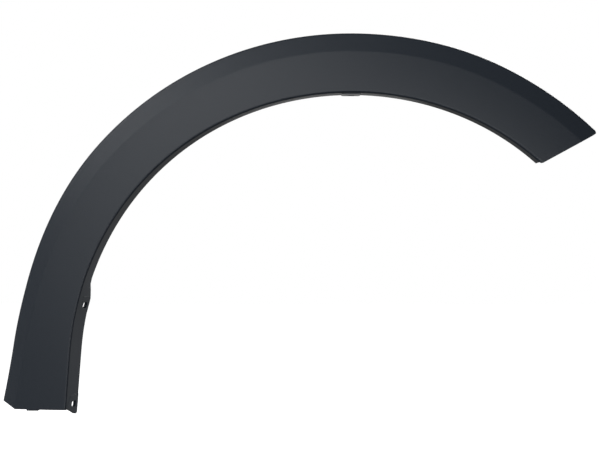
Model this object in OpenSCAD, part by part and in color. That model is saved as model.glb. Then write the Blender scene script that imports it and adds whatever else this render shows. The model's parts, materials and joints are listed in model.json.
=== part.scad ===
// Wheel arch trim: one injection moulding that runs over a car's wheel opening.
// Millimetres, as fitted: X along the car, Y into the body, Z up, face outboard to -Y.
// The moulding is a skin of even wall. Its section (flange, lip, face, soft bevel, rim) is lofted
// along the lip line: an arch with slight shoulders, then a straight leg. Depths follow the body's bow.

/* [Arch line] */
// Radius of the lip line round the wheel centre
lip_r = 363; // [340:1:390]
// How far the two shoulders of the lip line stand out from a true circle
shoulder = 1.3; // [0:0.1:4]
// Lean of the leg from upright
leg_lean = 4.4; // [2:0.1:8]
// Foot edge, below the wheel centre
foot_drop = 44.5; // [30:1:60]
// Radius of the body side in plan view
bow_r = 3500; // [2500:50:6000]

/* [Front end] */
// Angle above the horizontal where the end cut crosses the lip line
front_ang = 48.2; // [44:0.1:54]
// Slope of the end cut above the horizontal
cut_slope = 28.2; // [20:0.1:40]
// Round of the cut's inner corner
cut_inner_round = 3; // [2:0.5:14]
// Round of the cut's outer corner
cut_outer_round = 3; // [1:0.5:5]

/* [Face] */
// Face and bevel together, near the front end
width_front = 77.7; // [70:0.5:90]
// Face and bevel together, at the crown
width_crown = 75.8; // [70:0.5:90]
// Face and bevel together, at the rear shoulder
width_shoulder = 75; // [70:0.5:90]
// Face and bevel together, at the knee above the leg
width_knee = 71.8; // [68:0.1:90]
// Extra width at the very front end
front_flare = 4; // [0:0.5:8]
// Extra width at the foot
foot_flare = 11.5; // [5:0.5:16]
// Width of the soft bevel round the arch
bevel_w = 24; // [18:0.5:30]
// Width of the soft bevel at the foot
bevel_foot_w = 16; // [12:0.5:24]
// Tilt of the face at the lip
face_tilt = 1.5; // [0:0.5:4]
// Further tilt that the face's crown gives by the bevel
face_crown = 4; // [2:0.5:6]
// Tilt of the bevel
bevel_tilt = 15; // [10:0.5:22]
// Radius of the soft edge between face and bevel
soft_r = 16; // [8:1:24]

/* [Skin] */
// Wall of the moulding
wall = 2.7; // [2.2:0.1:3.4]
// Inside radius of the lip and of the rim's corner
inner_r = 0.5; // [0.3:0.1:1.2]
// Straight part of the turned-back rim
rim_len = 5; // [3:0.5:9]
// Draft of the rim
rim_draft = 3; // [1:0.5:5]
// Thickness of the end walls
end_wall = 2.4; // [1.8:0.1:3]

/* [Flange] */
// Depth of the flange from the front end to the crown
flange_arch = 22; // [18:1:28]
// Depth of the flange above the knee
flange_knee = 38; // [30:1:42]
// Depth of the flange down the leg
flange_leg = 47; // [42:1:54]
// Draft of the flange round the arch
draft_arch = 3.5; // [1:0.5:5]
// Draft of the flange above the knee
draft_knee = 5; // [2:0.5:6]
// Draft of the flange down the leg
draft_leg = 9.5; // [6:0.5:11]

/* [Screw pads] */
// Thickness of the pads
pad_t = 4; // [3.6:0.1:5]
// Width of the pads along the arch
pad_w = 24; // [20:1:30]
// How far the pads stand proud of the flange on the wheel side
pad_proud = 0.3; // [0.1:0.1:0.6]
// Depth of the crown tab, from the lip
crown_tab = 34; // [32:1:40]
// Diameter of the crown hole
crown_hole_d = 9.5; // [8:0.5:11]
// Depth of the crown hole's centre
crown_hole_y = 23; // [20:1:25]
// Width of the leg slots
slot_w = 8.3; // [6:0.1:10]
// Length of the leg slots, front to back
slot_len = 17; // [15:0.5:20]
// Depth of the leg slots' centres
slot_y = 31.5; // [30:0.5:33]
// Angle of the upper leg slot above the horizontal behind the wheel
slot_up_ang = 14.4; // [13:0.1:15]
// Lower leg slot, above the foot edge
slot_low_up = 5; // [4:0.5:8]
// Land in front of the slots
land = 6; // [4:0.5:9]
// How far the foot tab reaches below the foot edge
foot_tab = 9; // [7:0.5:12]
// Depth over which the foot tab's front edge slants
foot_slant = 38; // [30:1:40]
// Round of the tabs' rear corners
tab_r = 4; // [2:0.5:6]

/* [Foot] */
// Height of the corner cut off the foot across the bevel
foot_cut_h = 10; // [6:1:14]
// Width of the locating lug
lug_w = 15; // [10:1:20]
// How far the lug stands below the foot edge
lug_drop = 1.7; // [1:0.1:3]
// Lug's centre, from the lip line
lug_in = 44; // [35:1:50]
// Depth of the lug
lug_deep = 8; // [5:1:12]

/* [Clip houses] */
// Number of clip houses
houses = 6; // [4:1:7]
// Length of a house along the arch
house_l = 22; // [18:1:28]
// Width of a house across the face
house_w = 20; // [18:1:24]
// Height of a house's top behind the face's outer surface
house_h = 8.2; // [7.8:0.1:9.5]
// Top plate of a house
house_top = 2; // [1.6:0.1:2.6]
// Side walls of a house
house_wall = 2; // [1.6:0.1:2.6]
// Width of the clip slot
clip_slot_w = 8; // [6:0.5:10]

/* [Gussets] */
// Thickness of the gussets beside the pads
gusset_t = 1.8; // [1.4:0.1:2.4]
// Length of a gusset along the face
gusset_w = 14; // [10:1:18]
// Length of a gusset along the flange
gusset_h = 10; // [8:1:14]

/* [Hidden] */
$fn = 48;
plastic = "#3A3D42";
front_full_ang = 62;  // the front flare starts here
crown_ang = 90;
shoulder_ang = 138;
knee_ang = 165;       // the foot flare starts here
bevel_full_ang = 125; // the bevel starts to narrow here
step_a = 160;         // the flange deepens from here
step_b = 164;         // to here
leg_ang = 180 - leg_lean;
house_first = 60;     // the clip houses are spread evenly from here
house_last = 178;     // to here
pad_over = 0.5;       // the pads stand this far past the flange's rear edge
overlap = 1;          // cutters run this far past what they cut

// Position along the lip line is s: the angle in degrees round the arch, and past leg_ang the
// same arc length laid out straight down the leg.
mm_per_s = lip_r * PI / 180;
s_end = leg_ang + (lip_r * sin(leg_lean) + foot_drop) / mm_per_s;
s_step = 2.5;
fan = 24;             // stations turn from the end's own line to square over this many degrees
wall_fade = 0.3;      // draft of an end wall's inner face

function mix(a, b, t) = a + (b - a) * t;
function clamp01(t) = min(max(t, 0), 1);
function ease(t) = (1 - cos(180 * clamp01(t))) / 2;
function flare(t) = pow(clamp01(t), 1.5);
function dir(a) = [cos(a), sin(a)];
function bow(x) = x * x / (2 * bow_r);

// Lip line in the XZ plane, and the outward direction of the section that stands on it
function sec_ang(s) = min(s, leg_ang);
function lip(s) = let (a = sec_ang(s))
    (lip_r - shoulder * cos(4 * a)) * dir(a) + max(s - leg_ang, 0) * mm_per_s * dir(leg_ang + 90);

// Sizes of the section along the lip line
function width_base(s) =
    s < crown_ang ? mix(width_front, width_crown, ease((s - front_full_ang) / (crown_ang - front_full_ang)))
    : s < shoulder_ang ? mix(width_crown, width_shoulder, ease((s - crown_ang) / (shoulder_ang - crown_ang)))
    : mix(width_shoulder, width_knee, ease((s - shoulder_ang) / (knee_ang - shoulder_ang)));
function width(s) = width_base(s)
    + front_flare * flare((front_full_ang - s) / (front_full_ang - front_ang + 4))
    + foot_flare * flare((s - knee_ang) / (s_end - knee_ang));
function bevel(s) = mix(bevel_w, bevel_foot_w, ease((s - bevel_full_ang) / (s_end - bevel_full_ang)));
function depth(s) = mix(flange_arch, flange_knee, ease((s - crown_ang) / (step_a - crown_ang)))
    + (flange_leg - flange_knee) * ease((s - step_a) / (step_b - step_a));
function draft(s) = mix(draft_arch, draft_knee, ease((s - crown_ang) / (step_a - crown_ang)))
    + (draft_leg - draft_knee) * ease((s - step_a) / (step_b - step_a));

// Centre of an arc of the section that starts at p, where the outward normal is dir(a)
function arc_centre(p, r, a) = p - r * dir(a);
// Points of such an arc, each with the direction of its normal
function arc(c, r, a0, a1, n) = [for (i = [0:n]) let (a = mix(a0, a1, i / n)) [c + r * dir(a), a]];

// Outer surface of the section, from the flange's rear edge round the lip to the rim's rear edge.
// Coordinates are [outward from the lip, depth].
lip_or = wall + inner_r;
function lip_run(s) = lip_or * tan((90 + face_tilt - draft(s)) / 2);
function face_start(s) = lip_run(s) * dir(face_tilt);
function face_len(s) = width(s) - bevel(s) - lip_run(s);
function face_r(s) = face_len(s) * 180 / PI / face_crown;
function face_centre(s) = arc_centre(face_start(s), face_r(s), 270 + face_tilt);
function face_depth(s, u) = let (c = face_centre(s)) c[1] - sqrt(pow(face_r(s), 2) - pow(u - c[0], 2));
function skin(s) = let (
    d = draft(s),
    a_lip = 270 + face_tilt,
    a_soft = a_lip + face_crown,
    a_bevel = 270 + bevel_tilt,
    a_rim = 360 - rim_draft,
    c1 = arc_centre(face_start(s), lip_or, a_lip),
    c2 = face_centre(s),
    c3 = arc_centre(c2 + face_r(s) * dir(a_soft), soft_r, a_soft),
    p4 = c3 + soft_r * dir(a_bevel) + (bevel(s) - lip_or) * dir(bevel_tilt),
    c4 = arc_centre(p4, lip_or, a_bevel),
    p5 = c4 + lip_or * dir(a_rim))
    concat(
        [[[-depth(s) * tan(d), depth(s)], 180 + d]],
        arc(c1, lip_or, 180 + d, a_lip, 4),
        [for (i = [1:6]) let (a = a_lip + face_crown * pow(i / 6, 1.7)) [c2 + face_r(s) * dir(a), a]],
        [for (i = [1:2]) let (a = mix(a_soft, a_bevel, i / 2)) [c3 + soft_r * dir(a), a]],
        arc(c4, lip_or, a_bevel, a_rim, 4),
        [[p5 + rim_len * dir(90 - rim_draft), a_rim]]);

// Setback of a rounded corner of radius r, at distance x in from the corner's side
function corner_back(r, x) = r - sqrt(r * r - pow(r - min(max(x, 0), r), 2));

// Where the two end edges cross the section at u: the cut line at the front, the level foot with
// its corner cut off at the rear
front_r = norm(lip(front_ang));
function s_front(u) = let (out = width(front_ang) - u)
    cut_slope + asin(front_r * sin(front_ang - cut_slope) / (front_r + u))
    + (corner_back(cut_inner_round, u) + corner_back(cut_outer_round, out)) / mm_per_s;
function foot_z(u) = -foot_drop + foot_cut_h * clamp01(1 - (width(s_end) - u) / bevel_foot_w);
function s_foot(u) = leg_ang + (lip(leg_ang)[1] + u * sin(leg_ang) - foot_z(u)) / cos(leg_lean) / mm_per_s;

// A section point at station s, moved along so that the stations fan out to each end's own line
function place(s, p) = let (
    u = p[0],
    t = s + (s_front(u) - front_ang) * clamp01(1 - (s - front_ang) / fan)
        + (s_foot(u) - s_end) * clamp01(1 - (s_end - s) / fan),
    xz = lip(t) + u * dir(sec_ang(t)))
    [xz[0], p[1] + bow(xz[0]), xz[1]];

// Closed ring of the section. A filled one is solid to the rim's depth, for the end walls.
function ring(s, filled) = let (k = skin(s), n = len(k), back = k[n - 1][0][1])
    concat([for (q = k) q[0]], [for (i = [n - 1 : -1 : 0]) let (p = k[i][0] - wall * dir(k[i][1]))
        filled && i > 0 && i < n - 1 ? [p[0], back] : p]);

// Solid lofted through rings whose first half is the outer surface and second half the inner
module loft(rings) {
    n = len(rings[0]);
    last = len(rings) - 1;
    sides = [for (i = [0 : last - 1], j = [0 : n - 1]) let (k = (j + 1) % n)
        each [[i * n + j, (i + 1) * n + k, i * n + k], [i * n + j, (i + 1) * n + j, (i + 1) * n + k]]];
    caps = [for (j = [0 : n / 2 - 2], e = [0, 1]) let (b = e * last * n, i = n - 1 - j)
        each e == 1 ? [[b + j, b + i - 1, b + j + 1], [b + j, b + i, b + i - 1]]
            : [[b + j + 1, b + i, b + j], [b + j + 1, b + i - 1, b + i]]];
    polyhedron([for (r = rings) each r], concat(sides, caps));
}

// The moulding's skin, closed by a wall at each end
module skin_loft() {
    walls = end_wall / mm_per_s;
    fade = wall_fade / mm_per_s;
    inner = [for (s = [front_ang + walls + fade + s_step : s_step : s_end - walls - fade - s_step / 2]) s];
    rows = concat(
        [[front_ang, true], [front_ang + walls, true], [front_ang + walls + fade, false]],
        [for (s = inner) [s, false]],
        [[s_end - walls - fade, false], [s_end - walls, true], [s_end, true]]);
    loft([for (r = rows) [for (p = ring(r[0], r[1])) place(r[0], p)]]);
}

// Frame at station s, on the lip: X outward across the face, Y into the body, Z towards the foot
module at_station(s) {
    translate(place(s, [0, 0])) rotate([0, -sec_ang(s), 0]) children();
}

// Plate in the frame of the flange: X towards the body, outline in [depth, along]
module flange_plate(from_x, thick) {
    translate([from_x, 0, 0]) rotate([90, 0, 90]) linear_extrude(thick) children();
}

// Rectangle from depth y0 to y1, w wide, its two rear corners rounded
module tab_outline(y0, y1, w, r) {
    translate([y0, -w / 2]) square([y1 - r - y0, w]);
    translate([y1 - r - 0.1, r - w / 2]) square([r + 0.1, w - 2 * r]);
    for (side = [-1, 1]) translate([y1 - r, side * (w / 2 - r)]) circle(r);
}

// Crown tab: level, so that its hole stands square, and flush with the flange's rear edge below
crown_face = flange_arch * tan(draft_arch) + pad_proud;
module crown_pad() {
    at_station(crown_ang) flange_plate(-crown_face, pad_t) tab_outline(lip_or, crown_tab, pad_w, tab_r);
}

module crown_hole() {
    at_station(crown_ang) translate([-crown_face - overlap, crown_hole_y, 0])
        rotate([0, 90, 0]) cylinder(pad_t + 2 * overlap, d = crown_hole_d);
}

// The leg's pads lie in the drafted flange
s_up = 180 - slot_up_ang;
s_low = s_end - slot_low_up / mm_per_s;
pad_front = slot_y - slot_len / 2 - land;
pad_rear = flange_leg / cos(draft_leg) + pad_over;
module on_leg_flange(s) {
    at_station(s) rotate([0, 0, draft_leg]) children();
}

module leg_pad() {
    on_leg_flange(s_up) flange_plate(-pad_proud, pad_t) tab_outline(pad_front, pad_rear, pad_w, tab_r);
}

// The foot's pad runs on below the foot edge as a tab with a slanted front
module foot_pad() {
    reach = slot_low_up + foot_tab;
    on_leg_flange(s_low) flange_plate(-pad_proud, pad_t) {
        polygon([[lip_or, slot_low_up - end_wall], [lip_or + foot_slant, reach], [pad_rear - tab_r, reach],
            [pad_rear, reach - tab_r], [pad_rear, -pad_w / 2], [pad_front, -pad_w / 2]]);
        translate([pad_rear - tab_r, reach - tab_r]) circle(tab_r);
    }
}

// Slot through a leg pad, long from front to back
module leg_slot(s) {
    half = (slot_len - slot_w) / 2;
    cut = pad_t + 2 * overlap;
    on_leg_flange(s) translate([-pad_proud - overlap, slot_y, 0]) {
        for (side = [-1, 1]) translate([0, side * half, 0]) rotate([0, 90, 0]) cylinder(cut, d = slot_w);
        translate([0, -half, -slot_w / 2]) cube([cut, 2 * half, slot_w]);
    }
}

// Gussets in the corner behind the lip, at the given sides of a pad. Their tips lie in the middle
// of the face's wall, which the bow carries back a little from the lip to the tip.
module gussets(s, sides) {
    root = wall / 2;
    x = place(s, [0, 0])[0];
    tip = root + face_depth(s, gusset_w) + bow(x + gusset_w * cos(sec_ang(s))) - bow(x);
    for (side = sides) at_station(s) translate([0, 0, side * (pad_w - gusset_t) / 2 - gusset_t / 2])
        linear_extrude(gusset_t) polygon([[root, root], [gusset_w, tip],
            [root - gusset_h * tan(draft(s)), gusset_h]]);
}

// Wall that stands on the back of the face at station s, over u0 to u1 outward and z0 to z1 along,
// up to the level depth top. Its base follows the middle of the skin.
module standing_wall(s, u0, u1, z0, z1, top) {
    a = sec_ang(s);
    foot = [for (c = [[u0, z0], [u1, z0], [u1, z1], [u0, z1]])
        let (xz = lip(s) + c[0] * dir(a) + c[1] * dir(a + 90))
        [xz[0], face_depth(s, c[0]) + wall / 2 + bow(xz[0]), xz[1]]];
    head = [for (p = foot) [p[0], top, p[2]]];
    polyhedron(concat(foot, head), [[2, 1, 0], [3, 2, 0], [4, 5, 6], [4, 6, 7],
        each [for (i = [0:3]) let (k = (i + 1) % 4) each [[i, k, i + 4], [k, k + 4, i + 4]]]]);
}

// Clip house: side walls, an end wall and a level top with the slot that a body clip slides into
function house_u(s) = (lip_run(s) + width(s) - bevel(s)) / 2;
function house_top_y(s) = place(s, [house_u(s), face_depth(s, house_u(s)) + house_h])[1];
module clip_house(s) {
    u = house_u(s);
    u0 = u - house_w / 2;
    u1 = u + house_w / 2;
    half = house_l / 2;
    top = house_top_y(s);
    under = top - house_top / 2;
    standing_wall(s, u0, u0 + house_wall, -half, half, under);
    standing_wall(s, u1 - house_wall, u1, -half, half, under);
    standing_wall(s, u0, u1, -half, house_wall - half, under);
    xz = lip(s) + u * dir(sec_ang(s));
    translate([xz[0], top - house_top, xz[1]]) rotate([0, -sec_ang(s), 0]) difference() {
        translate([-house_w / 2, 0, -half]) cube([house_w, house_top, house_l]);
        rotate([-90, 0, 0]) translate([0, 0, -overlap]) cylinder(house_top + 2 * overlap, d = clip_slot_w);
        translate([-clip_slot_w / 2, -overlap, 0]) cube([clip_slot_w, house_top + 2 * overlap, half + overlap]);
    }
}

// Locating lug under the foot edge
module foot_lug() {
    p = place(s_end, [lug_in, face_depth(s_end, lug_in) + wall / 2]);
    translate([p[0] - lug_w / 2, p[1], -foot_drop - lug_drop]) cube([lug_w, lug_deep, lug_drop + end_wall / 2]);
}

// The origin is on the crown hole's axis, at the tab's wheel side
origin = place(crown_ang, [-crown_face, crown_hole_y]);
module arch_trim() {
    color(plastic) translate(-origin) difference() {
        union() {
            skin_loft();
            crown_pad();
            leg_pad();
            foot_pad();
            gussets(crown_ang, [-1, 1]);
            gussets(s_up, [-1, 1]);
            gussets(s_low, [-1]);
            for (i = [0 : houses - 1]) clip_house(mix(house_first, house_last, i / (houses - 1)));
            foot_lug();
        }
        crown_hole();
        leg_slot(s_up);
        leg_slot(s_low);
    }
}

arch_trim();
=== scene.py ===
"""A car's wheel arch trim: one dark injection moulding that runs over the wheel opening.

Lengths are metres in the row's frame: X along the car, Y into the body, Z up, with the origin on
the crown hole's axis. A station of the arch is named by s, the angle in degrees round the wheel
centre, which runs on down the leg at the same length for each degree. A section point is
[outward, depth], from the lip line across the face and into the body.
"""

import json
import math

import bmesh
import bpy
from mathutils import Matrix, Vector

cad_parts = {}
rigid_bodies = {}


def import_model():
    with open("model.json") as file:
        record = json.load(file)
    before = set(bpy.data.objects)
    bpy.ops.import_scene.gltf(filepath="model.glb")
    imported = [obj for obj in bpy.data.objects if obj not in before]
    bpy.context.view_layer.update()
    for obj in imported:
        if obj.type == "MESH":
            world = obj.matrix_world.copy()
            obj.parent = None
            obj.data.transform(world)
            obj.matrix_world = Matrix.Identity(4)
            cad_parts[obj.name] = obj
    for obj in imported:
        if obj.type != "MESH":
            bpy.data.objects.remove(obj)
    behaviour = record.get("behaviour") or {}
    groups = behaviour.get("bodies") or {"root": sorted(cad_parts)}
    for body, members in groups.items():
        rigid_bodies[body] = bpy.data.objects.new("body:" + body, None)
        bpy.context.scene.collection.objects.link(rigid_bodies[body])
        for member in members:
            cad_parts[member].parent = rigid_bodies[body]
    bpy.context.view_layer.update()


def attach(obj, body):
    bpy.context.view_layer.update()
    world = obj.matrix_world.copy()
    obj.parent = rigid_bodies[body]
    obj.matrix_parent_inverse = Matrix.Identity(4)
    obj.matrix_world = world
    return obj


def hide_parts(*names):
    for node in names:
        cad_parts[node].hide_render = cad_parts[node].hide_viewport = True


bl_info = {
    "name": "Wheel Arch Trim",
    "version": (1, 0, 0),
    "blender": (4, 5, 0),
    "location": "View3D > Sidebar > Trim",
    "description": "Models, finishes and stages a moulded wheel arch trim",
    "category": "Object",
}

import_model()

NODE = "arch_trim"
BODY = "root"
PIECE = "arch_trim_moulding"
POINT = "section_point"              # attribute: a vertex's number along the section
STATION = "station"                  # attribute: a vertex's station
ROLE = "trim_part"                   # property: what a loose piece does, "body" or "cut"

MM = 0.001
NEAR = MM / 100                      # a length that counts as none
QUARTER = math.pi / 2

# Stations and spans of them, in degrees
CROWN, SHOULDER, KNEE, REAR = 90, 138, 165, 180
FRONT_FULL, BEVEL_FULL = 62, 125     # the front flare and the narrowing of the bevel start here
STEP_A, STEP_B = 160, 164            # the flange deepens between these
FAN = 24                             # stations turn to each end's own line over this span
FLARE_PAST = 4                       # the front flare would be whole this far past the front end
HOUSE_FIRST, HOUSE_LAST = 60, 178    # the first and the last clip house
STATION_DIGITS = 4                   # stations are rounded, so that a section's points share one

FLARE_POWER = 1.5                    # a flare's width grows as this power of the way along it
LOBES = 4                            # the lip line's radius swells so often in a full turn
WALL_FADE = 0.3 * MM                 # draft of an end wall's inner face
WALL_REACH = 1.01                    # points within so many end walls of an end are on the wall

# Steps of the skin, along the section's parts, the arch and the leg
FLANGE_STEPS, ARC_STEPS, FACE_STEPS, BEVEL_STEPS = 3, 6, 14, 4
FACE_SPREAD = 1.6                    # face points lie closer together near the lip
ARCH_STEPS, LEG_STEPS = 96, 9

SHARP = math.radians(35)             # an edge that turns by more is broken
SMOOTH = math.radians(32)            # faces that turn by less are shaded as one
EDGE_SEGMENTS, HOUSE_SEGMENTS = 2, 3  # facets of a broken edge and of a house's rounds
CUTTER_SIDES = 48                    # sides of a round cutter
THROUGH = 3                          # depth of a cutter, in thicknesses of what it goes through
FACING = 0.9                         # share of a normal along the axis that its face looks to

# Own axes of a pad or its cutter: X into the body, Y to the foot
ON_FLANGE = Matrix(((0, 0, 1, 0), (1, 0, 0, 0), (0, 1, 0, 0), (0, 0, 0, 1)))
# Own axes of a house's cutter: X to the foot, Z into the body
IN_HOUSE = Matrix(((0, 1, 0, 0), (0, 0, 1, 0), (1, 0, 0, 0), (0, 0, 0, 1)))

PLASTIC_IOR = 1.49                   # polypropylene
PAINT_ROUGHNESS = 0.9
WHITE, OFF_WHITE = "#FFFFFF", "#F4F4F4"

FLOOR_SIZE = 14
SENSOR = 36                          # its width in millimetres
FAR = 50                             # the camera sees to here
AIM = Vector((-0.066, 0, -0.17))     # the lamps look at the middle of the trim
ROOM_LIGHT = 0.04                    # strength of the surroundings' light on the trim
LAMPS = (                            # name, azimuth, elevation, distance, size, watts
    ("key", -16, 15, 2.3, (1.2, 1.2), 14.5),
    ("side", -55, 35, 2.3, (1.0, 1.0), 16),
    ("low", 15, -6, 2.3, (1.0, 0.5), 10.3),
    ("left", -80, -14, 1.6, (0.8, 0.5), 1.4),
    ("table_bounce", 180, 0, 0.25, (1.6, 1.3), 1.2),
    ("crown_card", 178, 36, 0.25, (0.3, 0.12), 0.13),
    ("back", 150, 35, 2.3, (1.2, 1.2), 48),
)


def length(name, about, mm):
    """A length property, given in millimetres."""
    return bpy.props.FloatProperty(name=name, description=about, default=mm * MM, precision=5,
                                   unit="LENGTH")


def angle(name, about, degrees):
    """An angle property, given in degrees."""
    return bpy.props.FloatProperty(name=name, description=about, default=math.radians(degrees),
                                   subtype="ANGLE")


def share(name, about, value):
    """A property from 0 to 1."""
    return bpy.props.FloatProperty(name=name, description=about, default=value, min=0, max=1)


def count(name, about, value):
    """A whole number property."""
    return bpy.props.IntProperty(name=name, description=about, default=value, min=1)


class ArchSizes(bpy.types.PropertyGroup):
    """Line of the lip, the two ends and the widths along it"""
    lip_r: length("Lip radius", "Radius of the lip line round the wheel centre", 363)
    shoulder: length("Shoulders", "How far the lip line's shoulders stand out from a circle", 1.3)
    leg_lean: angle("Leg lean", "Lean of the leg from upright", 4.4)
    foot_drop: length("Foot drop", "Foot edge below the wheel centre", 44.5)
    bow_r: length("Body bow", "Radius of the body side in plan view", 3500)
    front: angle("Front end", "Where the end cut crosses the lip line", 48.2)
    cut_slope: angle("Cut slope", "Slope of the end cut above the horizontal", 28.2)
    cut_inner_round: length("Inner round", "Round of the cut's inner corner", 3)
    cut_outer_round: length("Outer round", "Round of the cut's outer corner", 3)
    width_front: length("Front width", "Face and bevel near the front end", 77.7)
    width_crown: length("Crown width", "Face and bevel at the crown", 75.8)
    width_shoulder: length("Shoulder width", "Face and bevel at the rear shoulder", 75)
    width_knee: length("Knee width", "Face and bevel above the leg", 71.8)
    front_flare: length("Front flare", "Extra width at the very front end", 4)
    foot_flare: length("Foot flare", "Extra width at the foot", 11.5)
    foot_cut: length("Foot corner", "Height of the corner cut off the foot across the bevel", 10)


class SectionSizes(bpy.types.PropertyGroup):
    """The moulding's section: flange, lip, face, soft bevel and turned-back rim"""
    wall: length("Wall", "Wall of the moulding", 2.7)
    inner_r: length("Inside radius", "Inside radius of the lip and of the rim's corner", 0.5)
    bevel_w: length("Bevel", "Width of the soft bevel round the arch", 24)
    bevel_foot_w: length("Foot bevel", "Width of the soft bevel at the foot", 16)
    face_tilt: angle("Face tilt", "Tilt of the face at the lip", 1.5)
    face_crown: angle("Face crown", "Further tilt that the face's crown gives by the bevel", 4)
    bevel_tilt: angle("Bevel tilt", "Tilt of the bevel", 15)
    soft_r: length("Soft edge", "Radius of the edge between face and bevel", 16)
    rim_len: length("Rim", "Straight part of the turned-back rim", 5)
    rim_draft: angle("Rim draft", "Draft of the rim", 3)
    flange_arch: length("Arch flange", "Depth of the flange from the front end to the crown", 22)
    flange_knee: length("Knee flange", "Depth of the flange above the knee", 38)
    flange_leg: length("Leg flange", "Depth of the flange down the leg", 47)
    draft_arch: angle("Arch draft", "Draft of the flange round the arch", 3.5)
    draft_knee: angle("Knee draft", "Draft of the flange above the knee", 5)
    draft_leg: angle("Leg draft", "Draft of the flange down the leg", 9.5)
    end_wall: length("End wall", "Thickness of the end walls", 2.4)
    edge: length("Edge", "Width of the broken edges", 0.35)


class FixingSizes(bpy.types.PropertyGroup):
    """Pads, holes, gussets, clip houses and the foot's lug"""
    pad_t: length("Pad", "Thickness of the pads", 4)
    pad_w: length("Pad width", "Width of the pads along the arch", 24)
    pad_proud: length("Pad proud", "How far the pads stand proud of the flange", 0.3)
    pad_over: length("Pad reach", "How far the pads reach past the flange", 0.5)
    crown_tab: length("Crown tab", "Depth of the crown tab, from the lip", 34)
    hole_d: length("Crown hole", "Diameter of the crown hole", 9.5)
    hole_y: length("Hole depth", "Depth of the crown hole's centre, from the lip", 23)
    slot_w: length("Slot width", "Width of the leg slots", 8.3)
    slot_len: length("Slot length", "Length of the leg slots", 17)
    slot_y: length("Slot depth", "Depth of the leg slots' centres", 31.5)
    slot_up: angle("Upper slot", "Upper leg slot above the horizontal", 14.4)
    slot_low: length("Lower slot", "Lower leg slot above the foot edge", 5)
    land: length("Land", "Land in front of the slots", 6)
    foot_tab: length("Foot tab", "How far the foot tab reaches below the foot edge", 9)
    foot_slant: length("Foot slant", "Depth over which the foot tab's front edge slants", 38)
    tab_r: length("Tab round", "Round of the tabs' rear corners", 4)
    gusset_t: length("Gusset", "Thickness of the gussets", 1.8)
    gusset_w: length("Gusset width", "Length of a gusset along the face", 14)
    gusset_h: length("Gusset height", "Length of a gusset along the flange", 10)
    houses: count("Clip houses", "Number of clip houses", 6)
    house_l: length("House length", "Length of a house along the arch", 22)
    house_w: length("House width", "Width of a house across the face", 20)
    house_h: length("House height", "Top of a house behind the face's outer surface", 8.2)
    house_wall: length("House wall", "Walls and top of a house", 2)
    clip_slot: length("Clip slot", "Width of the clip slot", 8)
    lug_w: length("Lug", "Width of the locating lug", 15)
    lug_drop: length("Lug drop", "How far the lug stands below the foot edge", 1.7)
    lug_in: length("Lug place", "Lug's centre, from the lip line", 44)
    lug_deep: length("Lug depth", "Depth of the lug", 8)


class PlasticLook(bpy.types.PropertyGroup):
    """Finish of the moulding"""
    colour: bpy.props.StringProperty(
        name="Plastic", description="Mass colour of the plastic, sRGB hex", default="#282F38")
    roughness: share("Roughness", "Roughness of the matte surface", 0.46)
    specular: share("Specular", "Strength of the surface reflection", 0.5)
    grain: length("Grain", "Spacing of the etched grain", 1.2)
    grain_depth: length("Grain depth", "Depth of the etched grain", 0.05)
    grain_strength: share("Grain strength", "Strength of the etched grain", 1.0)


class StageSizes(bpy.types.PropertyGroup):
    """Camera and floor"""
    camera: bpy.props.FloatVectorProperty(
        name="Camera", description="Place of the camera", size=3, subtype="XYZ", unit="LENGTH",
        default=(-0.0659, -1.823, -0.1673))
    lens: bpy.props.FloatProperty(
        name="Lens", description="Focal length on a 36 mm sensor", default=85.18, unit="CAMERA")
    floor_z: length("Floor", "Height of the floor", -660)


def mix(a, b, t):
    """The value t of the way from a to b."""
    return a + (b - a) * t


def clamp01(t):
    return min(max(t, 0.0), 1.0)


def ease(s, first, last):
    """Smooth rise from 0 at the first station to 1 at the last."""
    return (1 - math.cos(math.pi * clamp01((s - first) / (last - first)))) / 2


def flare(t):
    """Widening rise from 0 to 1."""
    return clamp01(t) ** FLARE_POWER


def polar(a):
    """Unit vector at angle a."""
    return Vector((math.cos(a), math.sin(a)))


def upright(v):
    """The row's vector of one in the XZ plane."""
    return Vector((v.x, 0, v.y))


def arc(centre, r, a0, a1, steps):
    """Points of an arc, with both its ends."""
    return [centre + r * polar(mix(a0, a1, i / steps)) for i in range(steps + 1)]


def straight(a, b, steps):
    """Points from a towards b, without b itself."""
    return [a.lerp(b, i / steps) for i in range(steps)]


def corner_back(r, x):
    """Setback of a rounded corner of radius r, at x in from its side."""
    return r - math.sqrt(r * r - (r - clamp01(x / r) * r) ** 2)


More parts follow.
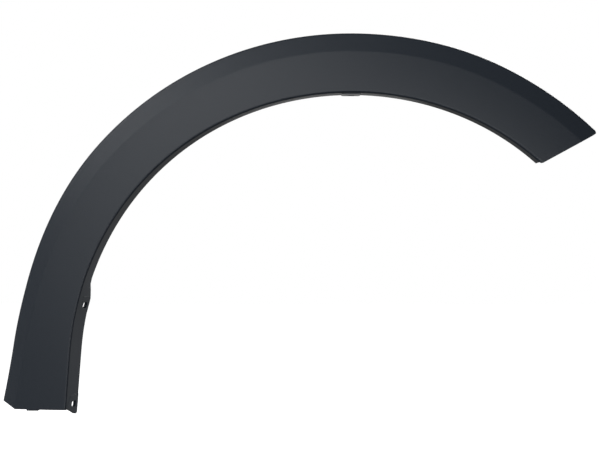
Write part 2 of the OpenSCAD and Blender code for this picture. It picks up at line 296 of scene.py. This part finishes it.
class Form:
    """The moulding's shape as formulas of a station and of a section point."""

    def __init__(self, scene):
        self.arch, self.sec, self.fix = scene.trim_arch, scene.trim_section, scene.trim_fixings
        arch, sec, fix = self.arch, self.sec, self.fix
        self.per_s = arch.lip_r * math.pi / 180                  # length of a degree on the lip
        self.leg_ang = REAR - math.degrees(arch.leg_lean)        # where the straight leg starts
        self.leg_down = math.radians(self.leg_ang + 90)          # direction down the leg
        leg = arch.lip_r * math.sin(arch.leg_lean) + arch.foot_drop
        self.front = math.degrees(arch.front)
        self.end = self.leg_ang + leg / self.per_s
        self.lip_or = sec.wall + sec.inner_r                     # outside radius of the lip
        self.crown_face = sec.flange_arch * math.tan(sec.draft_arch) + fix.pad_proud
        self.origin = Vector()
        self.origin = self.place(CROWN, -self.crown_face, fix.hole_y)

    def angle(self, s):
        """Angle of the section's plane, which stays the same down the leg."""
        return math.radians(min(s, self.leg_ang))

    def lip(self, s):
        """Lip line in the XZ plane."""
        a = self.angle(s)
        r = self.arch.lip_r - self.arch.shoulder * math.cos(LOBES * a)
        down = max(s - self.leg_ang, 0) * self.per_s
        return Vector((r * math.cos(a) + down * math.cos(self.leg_down),
                       r * math.sin(a) + down * math.sin(self.leg_down)))

    def width(self, s):
        """Width of face and bevel together."""
        arch = self.arch
        if s < CROWN:
            base = mix(arch.width_front, arch.width_crown, ease(s, FRONT_FULL, CROWN))
        elif s < SHOULDER:
            base = mix(arch.width_crown, arch.width_shoulder, ease(s, CROWN, SHOULDER))
        else:
            base = mix(arch.width_shoulder, arch.width_knee, ease(s, SHOULDER, KNEE))
        to_front = (FRONT_FULL - s) / (FRONT_FULL - self.front + FLARE_PAST)
        to_foot = (s - KNEE) / (self.end - KNEE)
        return base + arch.front_flare * flare(to_front) + arch.foot_flare * flare(to_foot)

    def bevel(self, s):
        """Width of the bevel."""
        return mix(self.sec.bevel_w, self.sec.bevel_foot_w, ease(s, BEVEL_FULL, self.end))

    def along_flange(self, s, arch, knee, leg):
        """A flange size that goes from its arch value to the knee's and then steps to the leg's."""
        return mix(arch, knee, ease(s, CROWN, STEP_A)) + (leg - knee) * ease(s, STEP_A, STEP_B)

    def depth(self, s):
        """Depth of the flange."""
        sec = self.sec
        return self.along_flange(s, sec.flange_arch, sec.flange_knee, sec.flange_leg)

    def draft(self, s):
        """Draft of the flange."""
        sec = self.sec
        return self.along_flange(s, sec.draft_arch, sec.draft_knee, sec.draft_leg)

    def lip_run(self, s):
        """How far outward the lip's round reaches."""
        return self.lip_or * math.tan((QUARTER + self.sec.face_tilt - self.draft(s)) / 2)

    def face_circle(self, s):
        """Centre and radius of the face's slight crown."""
        tilt = self.sec.face_tilt
        run = self.lip_run(s)
        r = (self.width(s) - self.bevel(s) - run) / self.sec.face_crown
        return run * polar(tilt) - r * polar(tilt - QUARTER), r

    def face_depth(self, s, u):
        """Depth of the face's outer surface at u outward."""
        c, r = self.face_circle(s)
        return c.y - math.sqrt(r * r - (u - c.x) ** 2)

    def section(self, s):
        """Outer surface of the section, from the flange's rear edge to the rim's. An angle of 0
        points outward and a quarter turn points into the body."""
        sec, draft = self.sec, self.draft(s)
        a_lip = 3 * QUARTER + sec.face_tilt
        a_soft = a_lip + sec.face_crown
        a_bevel = 3 * QUARTER + sec.bevel_tilt
        a_rim = 4 * QUARTER - sec.rim_draft
        lip_c = self.lip_run(s) * polar(sec.face_tilt) - self.lip_or * polar(a_lip)
        face_c, face_r = self.face_circle(s)
        soft_c = face_c + (face_r - sec.soft_r) * polar(a_soft)
        bevel_start = soft_c + sec.soft_r * polar(a_bevel)
        corner = bevel_start + (self.bevel(s) - self.lip_or) * polar(sec.bevel_tilt)
        rim_c = corner - self.lip_or * polar(a_bevel)
        rear = Vector((-self.depth(s) * math.tan(draft), self.depth(s)))
        lip_start = lip_c + self.lip_or * polar(math.pi + draft)
        rim_start = rim_c + self.lip_or * polar(a_rim)
        rim_end = rim_start + sec.rim_len * polar(QUARTER - sec.rim_draft)
        return (straight(rear, lip_start, FLANGE_STEPS)
                + arc(lip_c, self.lip_or, math.pi + draft, a_lip, ARC_STEPS)
                + [face_c + face_r * polar(a_lip + sec.face_crown * (i / FACE_STEPS) ** FACE_SPREAD)
                   for i in range(1, FACE_STEPS)]
                + arc(soft_c, sec.soft_r, a_soft, a_bevel, ARC_STEPS)
                + straight(bevel_start, corner, BEVEL_STEPS)[1:]
                + arc(rim_c, self.lip_or, a_bevel, a_rim, ARC_STEPS)
                + [rim_end])

    def front_station(self, u):
        """Where the front end's cut crosses the section at u."""
        arch, slope = self.arch, math.degrees(self.arch.cut_slope)
        r = self.lip(self.front).length
        across = math.asin(r * math.sin(math.radians(self.front - slope)) / (r + u))
        back = (corner_back(arch.cut_inner_round, u)
                + corner_back(arch.cut_outer_round, self.width(self.front) - u))
        return slope + math.degrees(across) + back / self.per_s

    def foot_station(self, u):
        """Where the foot's edge crosses the section at u."""
        arch = self.arch
        cut = arch.foot_cut * clamp01(1 - (self.width(self.end) - u) / self.sec.bevel_foot_w)
        lip_z = self.lip(self.leg_ang).y
        down = lip_z + u * math.sin(math.radians(self.leg_ang)) + arch.foot_drop - cut
        return self.leg_ang + down / math.cos(arch.leg_lean) / self.per_s

    def bow(self, x):
        """Depth that the body side's bow adds at x from the wheel centre."""
        return x ** 2 / (2 * self.arch.bow_r)

    def bowed(self, flat, depth):
        """Row point of a point in the XZ plane and its depth."""
        return Vector((flat.x, depth + self.bow(flat.x), flat.y)) - self.origin

    def place(self, s, u, depth):
        """Row point of a section point. The stations fan out to each end's own line."""
        t = (s + (self.front_station(u) - self.front) * clamp01(1 - (s - self.front) / FAN)
             + (self.foot_station(u) - self.end) * clamp01(1 - (self.end - s) / FAN))
        return self.bowed(self.lip(t) + u * polar(self.angle(t)), depth)

    def mid_skin(self, s, u, along):
        """Point in the middle of the face's wall, at u outward from station s and along the
        arch."""
        a = self.angle(s)
        flat = self.lip(s) + u * polar(a) + along * polar(a + QUARTER)
        return self.bowed(flat, self.face_depth(s, u) + self.sec.wall / 2)

    def frame_at(self, s):
        """Frame at station s on the lip: X outward across the face, Y into the body and Z to the
        foot."""
        return Matrix.Translation(self.place(s, 0, 0)) @ Matrix.Rotation(-self.angle(s), 4, "Y")

    def flange_frame(self, s):
        """The same frame, leaned back into the leg's drafted flange."""
        return self.frame_at(s) @ Matrix.Rotation(self.sec.draft_leg, 4, "Z")

    def slot_stations(self):
        """Stations of the upper and the lower leg slot."""
        return REAR - math.degrees(self.fix.slot_up), self.end - self.fix.slot_low / self.per_s


def deselect():
    """Leaves edit mode, with nothing selected."""
    if bpy.context.object and bpy.context.object.mode != "OBJECT":
        bpy.ops.object.mode_set(mode="OBJECT")
    bpy.ops.object.select_all(action="DESELECT")


def only(piece):
    """Makes the piece the one that operators act on."""
    deselect()
    bpy.context.view_layer.objects.active = piece
    piece.select_set(True)


def edit(piece):
    """Edit mode on the piece, with nothing selected."""
    only(piece)
    bpy.ops.object.mode_set(mode="EDIT")
    bpy.ops.mesh.select_all(action="DESELECT")
    return bmesh.from_edit_mesh(piece.data)


def pick(mesh, kind, test):
    """Selects the vertices, edges or faces that pass the test, in edit mode."""
    bpy.ops.mesh.select_mode(type=kind)
    bpy.ops.mesh.select_all(action="DESELECT")
    for part in {"VERT": mesh.verts, "EDGE": mesh.edges, "FACE": mesh.faces}[kind]:
        if test(part):
            part.select_set(True)


def draw_line(name, points):
    """New piece that is one line through the points: a vertex, extruded from point to point."""
    deselect()
    bpy.ops.mesh.primitive_plane_add(size=MM, location=points[0])
    piece = bpy.context.object
    piece.name = name
    bpy.ops.object.transform_apply(location=True)
    bpy.ops.object.mode_set(mode="EDIT")
    bpy.ops.mesh.merge(type="CENTER")
    for a, b in zip(points, points[1:]):
        bpy.ops.mesh.extrude_vertices_move(TRANSFORM_OT_translate={"value": Vector(b) - Vector(a)})
    return piece


def plate(name, outline, thick, matrix):
    """New plate: a closed outline, filled and extruded along its third axis, then put in place."""
    piece = draw_line(name, [Vector((*p, 0)) for p in outline])
    bpy.ops.mesh.select_all(action="SELECT")
    bpy.ops.mesh.edge_face_add()
    bpy.ops.mesh.extrude_region_move(TRANSFORM_OT_translate={"value": (0, 0, thick)})
    bpy.ops.mesh.select_all(action="SELECT")
    bpy.ops.mesh.normals_make_consistent(inside=False)
    bpy.ops.object.mode_set(mode="OBJECT")
    set_down(piece, matrix)
    return piece


def set_down(piece, matrix):
    """Puts the piece in its place, and its place in its mesh."""
    piece.matrix_world = matrix @ piece.matrix_world
    only(piece)
    bpy.ops.object.transform_apply(location=True, rotation=True, scale=True)


def modify(piece, kind, **settings):
    """Adds a modifier and applies it."""
    only(piece)
    modifier = piece.modifiers.new(kind.lower(), kind)
    for name, value in settings.items():
        setattr(modifier, name, value)
    bpy.ops.object.modifier_apply(modifier=modifier.name)


def break_edges(piece, width):
    """Rounds the piece's sharp edges a little, as a mould does."""
    modify(piece, "BEVEL", width=width, segments=EDGE_SEGMENTS, limit_method="ANGLE",
           angle_limit=SHARP)


def discard(pieces):
    """Deletes the pieces."""
    deselect()
    for piece in pieces:
        piece.select_set(True)
    bpy.ops.object.delete()


def long_cutter(name, wide, deep, run, matrix):
    """Cutter with round ends, centred on its first end: a cylinder with one half moved along X.
    It is turned by half a side, so that no vertex lies between the halves."""
    deselect()
    bpy.ops.mesh.primitive_cylinder_add(vertices=CUTTER_SIDES, radius=wide / 2, depth=deep,
                                        rotation=(0, 0, math.pi / CUTTER_SIDES))
    cutter = bpy.context.object
    cutter.name = name
    bpy.ops.object.transform_apply(rotation=True)
    if run:
        mesh = edit(cutter)
        pick(mesh, "VERT", lambda v: v.co.x > 0)
        bpy.ops.transform.translate(value=(run, 0, 0))
        bpy.ops.object.mode_set(mode="OBJECT")
    set_down(cutter, matrix)
    cutter[ROLE] = "cut"


class TRIM_OT_skin(bpy.types.Operator):
    """Skin of the moulding: the section is drawn, spun round the wheel centre, run on down the leg,
    fitted to its size at each station and given its wall"""
    bl_idname = "trim.skin"
    bl_label = "Skin"

    def execute(self, context):
        form = Form(context.scene)
        wheel, rail, start = -form.origin, form.arch.lip_r, math.radians(form.front)
        first = [wheel + Vector(((rail + p.x) * math.cos(start), p.y,
                                 (rail + p.x) * math.sin(start)))
                 for p in form.section(CROWN)]
        piece = draw_line(PIECE, first)
        mesh = bmesh.from_edit_mesh(piece.data)
        number = mesh.verts.layers.int.new(POINT)
        for v in mesh.verts:
            v[number] = min(range(len(first)), key=lambda i: (first[i] - v.co).length)
        bmesh.update_edit_mesh(piece.data)
        bpy.ops.mesh.select_all(action="SELECT")

        wall = math.radians(form.sec.end_wall / form.per_s)
        fade = math.radians(WALL_FADE / form.per_s)
        rest = math.radians(form.leg_ang) - start - wall - fade
        for steps, turn in ((1, wall), (1, fade), (ARCH_STEPS, rest)):
            bpy.ops.mesh.spin(steps=steps, angle=turn, center=wheel, axis=(0, 1, 0))
        leg = (form.end - form.leg_ang) * form.per_s - form.sec.end_wall - WALL_FADE
        down = upright(polar(form.leg_down))
        for step in [leg / LEG_STEPS] * LEG_STEPS + [WALL_FADE, form.sec.end_wall]:
            bpy.ops.mesh.extrude_region_move(TRANSFORM_OT_translate={"value": step * down})
        self.fit(piece, form)
        self.give_wall(piece, form)
        return {"FINISHED"}

    def stations(self, mesh, form):
        """Station of each vertex, read from its place before it is fitted."""
        wheel = -form.origin
        out, down = upright(polar(math.radians(form.leg_ang))), upright(polar(form.leg_down))
        corner = wheel + form.arch.lip_r * out
        found = []
        for v in mesh.verts:
            p, run = v.co - wheel, (v.co - corner).dot(down)
            if run > -NEAR and p.dot(out) > 0:
                s = form.leg_ang + max(run, 0) / form.per_s
            else:
                s = math.degrees(math.atan2(p.z, p.x)) % 360
            found.append(round(s, STATION_DIGITS))
        return found

    def fit(self, piece, form):
        """Moves each point to where its section has it at its station."""
        mesh = bmesh.from_edit_mesh(piece.data)
        number = mesh.verts.layers.int[POINT]
        station = mesh.verts.layers.float.new(STATION)
        sections = {}
        for v, s in zip(mesh.verts, self.stations(mesh, form)):
            if s not in sections:
                sections[s] = form.section(s)
            p = sections[s][v[number]]
            v[station] = s
            v.co = form.place(s, p.x, p.y)
        bmesh.update_edit_mesh(piece.data)
        face = min(mesh.faces, key=lambda f: f.calc_center_median().y)
        if face.normal.y > 0:
            bpy.ops.mesh.select_all(action="SELECT")
            bpy.ops.mesh.flip_normals()
        bpy.ops.object.mode_set(mode="OBJECT")

    def give_wall(self, piece, form):
        """Thickens the skin inwards and closes both ends down to the rim."""
        group = piece.vertex_groups.new(name="inside")
        modify(piece, "SOLIDIFY", thickness=form.sec.wall, offset=-1, use_even_offset=True,
               shell_vertex_group=group.name)
        mesh = edit(piece)
        number, station = mesh.verts.layers.int[POINT], mesh.verts.layers.float[STATION]
        inside = mesh.verts.layers.deform.active
        last = len(form.section(CROWN)) - 1
        walls = form.sec.end_wall / form.per_s * WALL_REACH
        for v in mesh.verts:
            s = v[station]
            if v[inside] and 0 < v[number] < last and min(s - form.front, form.end - s) < walls:
                x = (v.co + form.origin).x
                v.co.y = form.section(s)[-1].y + form.bow(x) - form.origin.y
        bmesh.update_edit_mesh(piece.data)
        bpy.ops.object.mode_set(mode="OBJECT")
        break_edges(piece, form.sec.edge)


class TRIM_OT_pads(bpy.types.Operator):
    """Screw pads of the crown and the leg, with their gussets"""
    bl_idname = "trim.pads"
    bl_label = "Screw pads"

    def execute(self, context):
        form = Form(context.scene)
        fix, sec = form.fix, form.sec
        half, r = fix.pad_w / 2, fix.tab_r
        upper, lower = form.slot_stations()
        front = fix.slot_y - fix.slot_len / 2 - fix.land
        rear = sec.flange_leg / math.cos(sec.draft_leg) + fix.pad_over
        reach = fix.slot_low + fix.foot_tab

        def rounded(y0, y1):
            """Outline of a pad between two depths, with its rear corners rounded."""
            return ([Vector((y0, -half))]
                    + arc(Vector((y1 - r, r - half)), r, -QUARTER, 0, ARC_STEPS)
                    + arc(Vector((y1 - r, half - r)), r, 0, QUARTER, ARC_STEPS)
                    + [Vector((y0, half))])

        foot = ([Vector((front, -half)), Vector((rear, -half))]
                + arc(Vector((rear - r, reach - r)), r, 0, QUARTER, ARC_STEPS)
                + [Vector((form.lip_or + fix.foot_slant, reach)),
                   Vector((form.lip_or, fix.slot_low - sec.end_wall))])
        at_crown = Matrix.Translation((-form.crown_face, 0, 0)) @ ON_FLANGE
        on_leg = Matrix.Translation((-fix.pad_proud, 0, 0)) @ ON_FLANGE
        pads = [
            plate("crown_pad", rounded(form.lip_or, fix.crown_tab), fix.pad_t,
                  form.frame_at(CROWN) @ at_crown),
            plate("upper_pad", rounded(front, rear), fix.pad_t, form.flange_frame(upper) @ on_leg),
            plate("foot_pad", foot, fix.pad_t, form.flange_frame(lower) @ on_leg)]
        for s, sides in ((CROWN, (-1, 1)), (upper, (-1, 1)), (lower, (-1,))):
            root = sec.wall / 2
            tip = form.mid_skin(s, fix.gusset_w, 0).y - form.frame_at(s).translation.y
            corner = [Vector((root, root)), Vector((fix.gusset_w, tip)),
                      Vector((root - fix.gusset_h * math.tan(form.draft(s)), fix.gusset_h))]
            for side in sides:
                along = side * (half - fix.gusset_t / 2) - fix.gusset_t / 2
                pads.append(plate("gusset", corner, fix.gusset_t,
                                  form.frame_at(s) @ Matrix.Translation((0, 0, along))))
        for pad in pads:
            break_edges(pad, sec.edge)
            pad[ROLE] = "body"
        return {"FINISHED"}


class TRIM_OT_houses(bpy.types.Operator):
    """Clip houses on the back of the face: a box open towards the foot, with a slot in its top"""
    bl_idname = "trim.houses"
    bl_label = "Clip houses"

    def execute(self, context):
        form = Form(context.scene)
        fix = form.fix
        for i in range(fix.houses):
            s = mix(HOUSE_FIRST, HOUSE_LAST, i / (fix.houses - 1))
            u = (form.lip_run(s) + form.width(s) - form.bevel(s)) / 2
            centre = upright(form.lip(s) + u * polar(form.angle(s))) - form.origin
            centre.y = form.place(s, u, form.face_depth(s, u) + fix.house_h).y
            at = Matrix.Translation(centre) @ Matrix.Rotation(-form.angle(s), 4, "Y")
            self.box(form, s, u, at)
            # The slot has its round end on the house's middle and runs out towards the foot.
            long_cutter("clip_slot", fix.clip_slot, THROUGH * fix.house_wall, fix.house_l,
                        at @ IN_HOUSE)
        return {"FINISHED"}

    def box(self, form, s, u, at):
        """One house, whose foot is let into the middle of the face's wall."""
        fix = form.fix
        deselect()
        bpy.ops.mesh.primitive_cube_add(size=1)
        house = bpy.context.object
        house.name = "clip_house"
        house.scale = (fix.house_w, fix.house_h, fix.house_l)
        house.location.y = -fix.house_h / 2
        bpy.ops.object.transform_apply(location=True, scale=True)
        mesh = edit(house)
        pick(mesh, "EDGE", lambda e: self.outer_edge(*[v.co for v in e.verts]))
        bpy.ops.mesh.bevel(offset=fix.house_wall / 2, segments=HOUSE_SEGMENTS, affect="EDGES")
        mesh = bmesh.from_edit_mesh(house.data)
        pick(mesh, "FACE", lambda f: f.normal.y < -FACING or f.normal.z > FACING)
        bpy.ops.mesh.delete(type="FACE")
        bpy.ops.object.mode_set(mode="OBJECT")
        modify(house, "SOLIDIFY", thickness=fix.house_wall, offset=-1, use_even_offset=True)
        set_down(house, at)
        mesh = edit(house)
        back = at.inverted()
        for v in mesh.verts:
            local = back @ v.co
            if local.y < -fix.house_h + MM:
                v.co.y = form.mid_skin(s, u + local.x, local.z).y
        bmesh.update_edit_mesh(house.data)
        bpy.ops.object.mode_set(mode="OBJECT")
        house[ROLE] = "body"

    def outer_edge(self, a, b):
        """Edge of the top, or upright at the closed end."""
        top = min(a.y, b.y) > -MM and min(a.z, b.z) < 0
        upright_edge = max(a.z, b.z) < 0 and a.x * b.x > 0
        return top or upright_edge


class TRIM_OT_foot_lug(bpy.types.Operator):
    """Locating lug under the foot edge"""
    bl_idname = "trim.foot_lug"
    bl_label = "Foot lug"

    def execute(self, context):
        form = Form(context.scene)
        fix, sec = form.fix, form.sec
        p = form.place(form.end, fix.lug_in, form.face_depth(form.end, fix.lug_in) + sec.wall / 2)
        foot = -form.arch.foot_drop - form.origin.z
        high = fix.lug_drop + sec.end_wall / 2
        deselect()
        bpy.ops.mesh.primitive_cube_add(
            size=1, location=(p.x, p.y + fix.lug_deep / 2, foot - fix.lug_drop + high / 2))
        lug = bpy.context.object
        lug.name = "foot_lug"
        lug.scale = (fix.lug_w, fix.lug_deep, high)
        bpy.ops.object.transform_apply(location=True, scale=True)
        break_edges(lug, sec.edge)
        lug[ROLE] = "body"
        return {"FINISHED"}


class TRIM_OT_holes(bpy.types.Operator):
    """Cutters of the crown hole and of the leg's two slots"""
    bl_idname = "trim.holes"
    bl_label = "Holes"

    def execute(self, context):
        form = Form(context.scene)
        fix = form.fix
        deep = THROUGH * fix.pad_t
        long_cutter("crown_hole", fix.hole_d, deep, 0, Matrix.Identity(4))
        run = fix.slot_len - fix.slot_w
        first_end = Matrix.Translation((0, fix.slot_y - run / 2, 0))
        for s in form.slot_stations():
            long_cutter("leg_slot", fix.slot_w, deep, run,
                        form.flange_frame(s) @ first_end @ ON_FLANGE)
        return {"FINISHED"}


class TRIM_OT_unite(bpy.types.Operator):
    """Joins all to one moulding, cuts its holes and gives it its place in the frame"""
    bl_idname = "trim.unite"
    bl_label = "Unite"

    def execute(self, context):
        piece = bpy.data.objects[PIECE]
        for role, operation in (("body", "UNION"), ("cut", "DIFFERENCE")):
            tools = [o for o in context.scene.objects if o.get(ROLE) == role]
            for tool in tools:
                modify(piece, "BOOLEAN", operation=operation, solver="MANIFOLD", object=tool)
            discard(tools)
        # The joints and cuts leave a few slivers of no width.
        edit(piece)
        bpy.ops.mesh.select_all(action="SELECT")
        bpy.ops.mesh.dissolve_degenerate(threshold=NEAR)
        only(piece)
        bpy.ops.object.shade_smooth_by_angle(angle=SMOOTH)
        modify(piece, "WEIGHTED_NORMAL", keep_sharp=True)
        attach(piece, BODY)
        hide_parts(NODE)
        return {"FINISHED"}


class TRIM_OT_finish(bpy.types.Operator):
    """Moulded plastic on the moulding"""
    bl_idname = "trim.finish"
    bl_label = "Finish"

    def execute(self, context):
        finishes = bpy.data.objects[PIECE].data.materials
        finishes.clear()
        finishes.append(moulded_plastic(context.scene.trim_plastic))
        return {"FINISHED"}


def linear(code):
    """Linear colour of an sRGB hex value, by the sRGB curve."""
    parts = [int(code[i:i + 2], 16) / 255 for i in (1, 3, 5)]
    return [c / 12.92 if c <= 0.04045 else ((c + 0.055) / 1.055) ** 2.4 for c in parts] + [1.0]


def empty_tree(owner):
    """Node tree of a material or world, with nothing in it."""
    owner.use_nodes = True
    owner.node_tree.nodes.clear()
    return owner.node_tree


def add_node(tree, kind, values=(), **settings):
    """Adds a shader node, sets its properties and its input values or links."""
    node = tree.nodes.new(kind)
    for name, value in settings.items():
        setattr(node, name, value)
    for socket, value in dict(values).items():
        if isinstance(value, bpy.types.NodeSocket):
            tree.links.new(value, node.inputs[socket])
        else:
            node.inputs[socket].default_value = value
    return node


def moulded_plastic(look):
    """Talc-filled polypropylene, mass-coloured and moulded against a finely etched tool: a matte
    blue-grey black that takes a broad soft highlight."""
    material = bpy.data.materials.new("moulded_polypropylene_fine_grain")
    tree = empty_tree(material)
    where = add_node(tree, "ShaderNodeTexCoord").outputs["Object"]
    # The real grain is about 0.4 mm across. It is drawn as coarse as it needs to be to show in a
    # close view, and from further off it doesn't show.
    grain = add_node(tree, "ShaderNodeTexVoronoi", {"Vector": where, "Scale": 1 / look.grain},
                     feature="SMOOTH_F1")
    bump = add_node(tree, "ShaderNodeBump", {
        "Strength": look.grain_strength, "Distance": look.grain_depth,
        "Height": grain.outputs["Distance"]})
    surface = add_node(tree, "ShaderNodeBsdfPrincipled", {
        "Base Color": linear(look.colour), "Roughness": look.roughness, "IOR": PLASTIC_IOR,
        "Specular IOR Level": look.specular, "Normal": bump.outputs["Normal"]})
    add_node(tree, "ShaderNodeOutputMaterial", {"Surface": surface.outputs["BSDF"]})
    return material


def matte_white_paint():
    """Dead flat white paint on the studio floor. Its emission stands for the lamps that light a
    studio's background apart from the object, so that it stays white behind a dark part."""
    material = bpy.data.materials.new("matte_white_paint")
    tree = empty_tree(material)
    surface = add_node(tree, "ShaderNodeBsdfPrincipled", {
        "Base Color": linear(OFF_WHITE), "Roughness": PAINT_ROUGHNESS,
        "Emission Color": linear(WHITE), "Emission Strength": 1.0})
    add_node(tree, "ShaderNodeOutputMaterial", {"Surface": surface.outputs["BSDF"]})
    return material


def studio_world():
    """White surroundings behind the object, whose own light on it is dim."""
    world = bpy.data.worlds.new("studio")
    tree = empty_tree(world)
    white = add_node(tree, "ShaderNodeBackground", {"Color": linear(WHITE), "Strength": 1.0})
    dim = add_node(tree, "ShaderNodeBackground", {"Color": linear(WHITE), "Strength": ROOM_LIGHT})
    seen = add_node(tree, "ShaderNodeLightPath").outputs["Is Camera Ray"]
    both = add_node(tree, "ShaderNodeMixShader", {0: seen, 1: dim.outputs[0], 2: white.outputs[0]})
    add_node(tree, "ShaderNodeOutputWorld", {"Surface": both.outputs[0]})
    return world


def softbox(name, azimuth, elevation, distance, size, watts):
    """Soft lamp that looks at the trim from the given side. The camera stands at azimuth 0."""
    turn, rise = math.radians(azimuth), math.radians(elevation)
    away = Vector((math.sin(turn) * math.cos(rise), -math.cos(turn) * math.cos(rise),
                   math.sin(rise)))
    bpy.ops.object.light_add(type="AREA", location=AIM + distance * away)
    lamp = bpy.context.object
    lamp.name = name
    lamp.data.shape = "RECTANGLE"
    lamp.data.size, lamp.data.size_y = size
    lamp.data.energy = watts
    lamp.visible_camera = False
    lamp.rotation_euler = away.to_track_quat("Z", "Y").to_euler()


class TRIM_OT_stage(bpy.types.Operator):
    """Pale floor, studio light and the camera"""
    bl_idname = "trim.stage"
    bl_label = "Stage"

    def execute(self, context):
        scene = context.scene
        sizes = scene.trim_stage
        deselect()
        scene.view_settings.view_transform = "Standard"
        bpy.ops.mesh.primitive_plane_add(size=FLOOR_SIZE, location=(0, 0, sizes.floor_z))
        floor = context.object
        floor.name = "floor"
        floor.data.materials.append(matte_white_paint())
        floor.visible_diffuse = floor.visible_glossy = False
        scene.world = studio_world()

        for lamp in LAMPS:
            softbox(*lamp)

        bpy.ops.object.camera_add(location=sizes.camera, rotation=(QUARTER, 0, 0))
        camera = context.object
        camera.data.lens = sizes.lens
        camera.data.sensor_width = SENSOR
        camera.data.clip_end = FAR
        scene.camera = camera
        return {"FINISHED"}


class TRIM_PT_panel(bpy.types.Panel):
    """Lists the steps of the trim"""
    bl_idname = "TRIM_PT_panel"
    bl_label = "Wheel Arch Trim"
    bl_space_type = "VIEW_3D"
    bl_region_type = "UI"
    bl_category = "Trim"

    def draw(self, context):
        for step in STEPS:
            self.layout.operator(step.bl_idname)


STEPS = (TRIM_OT_skin, TRIM_OT_pads, TRIM_OT_houses, TRIM_OT_foot_lug, TRIM_OT_holes,
         TRIM_OT_unite, TRIM_OT_finish, TRIM_OT_stage)
GROUPS = {"trim_arch": ArchSizes, "trim_section": SectionSizes, "trim_fixings": FixingSizes,
          "trim_plastic": PlasticLook, "trim_stage": StageSizes}
CLASSES = tuple(GROUPS.values()) + STEPS + (TRIM_PT_panel,)


def register():
    for cls in CLASSES:
        bpy.utils.register_class(cls)
    for name, group in GROUPS.items():
        setattr(bpy.types.Scene, name, bpy.props.PointerProperty(type=group))


def unregister():
    for name in GROUPS:
        delattr(bpy.types.Scene, name)
    for cls in reversed(CLASSES):
        bpy.utils.unregister_class(cls)


def main():
    """Runs every step."""
    register()
    for step in STEPS:
        group, name = step.bl_idname.split(".")
        getattr(getattr(bpy.ops, group), name)()


if __name__ == "__main__":
    main()
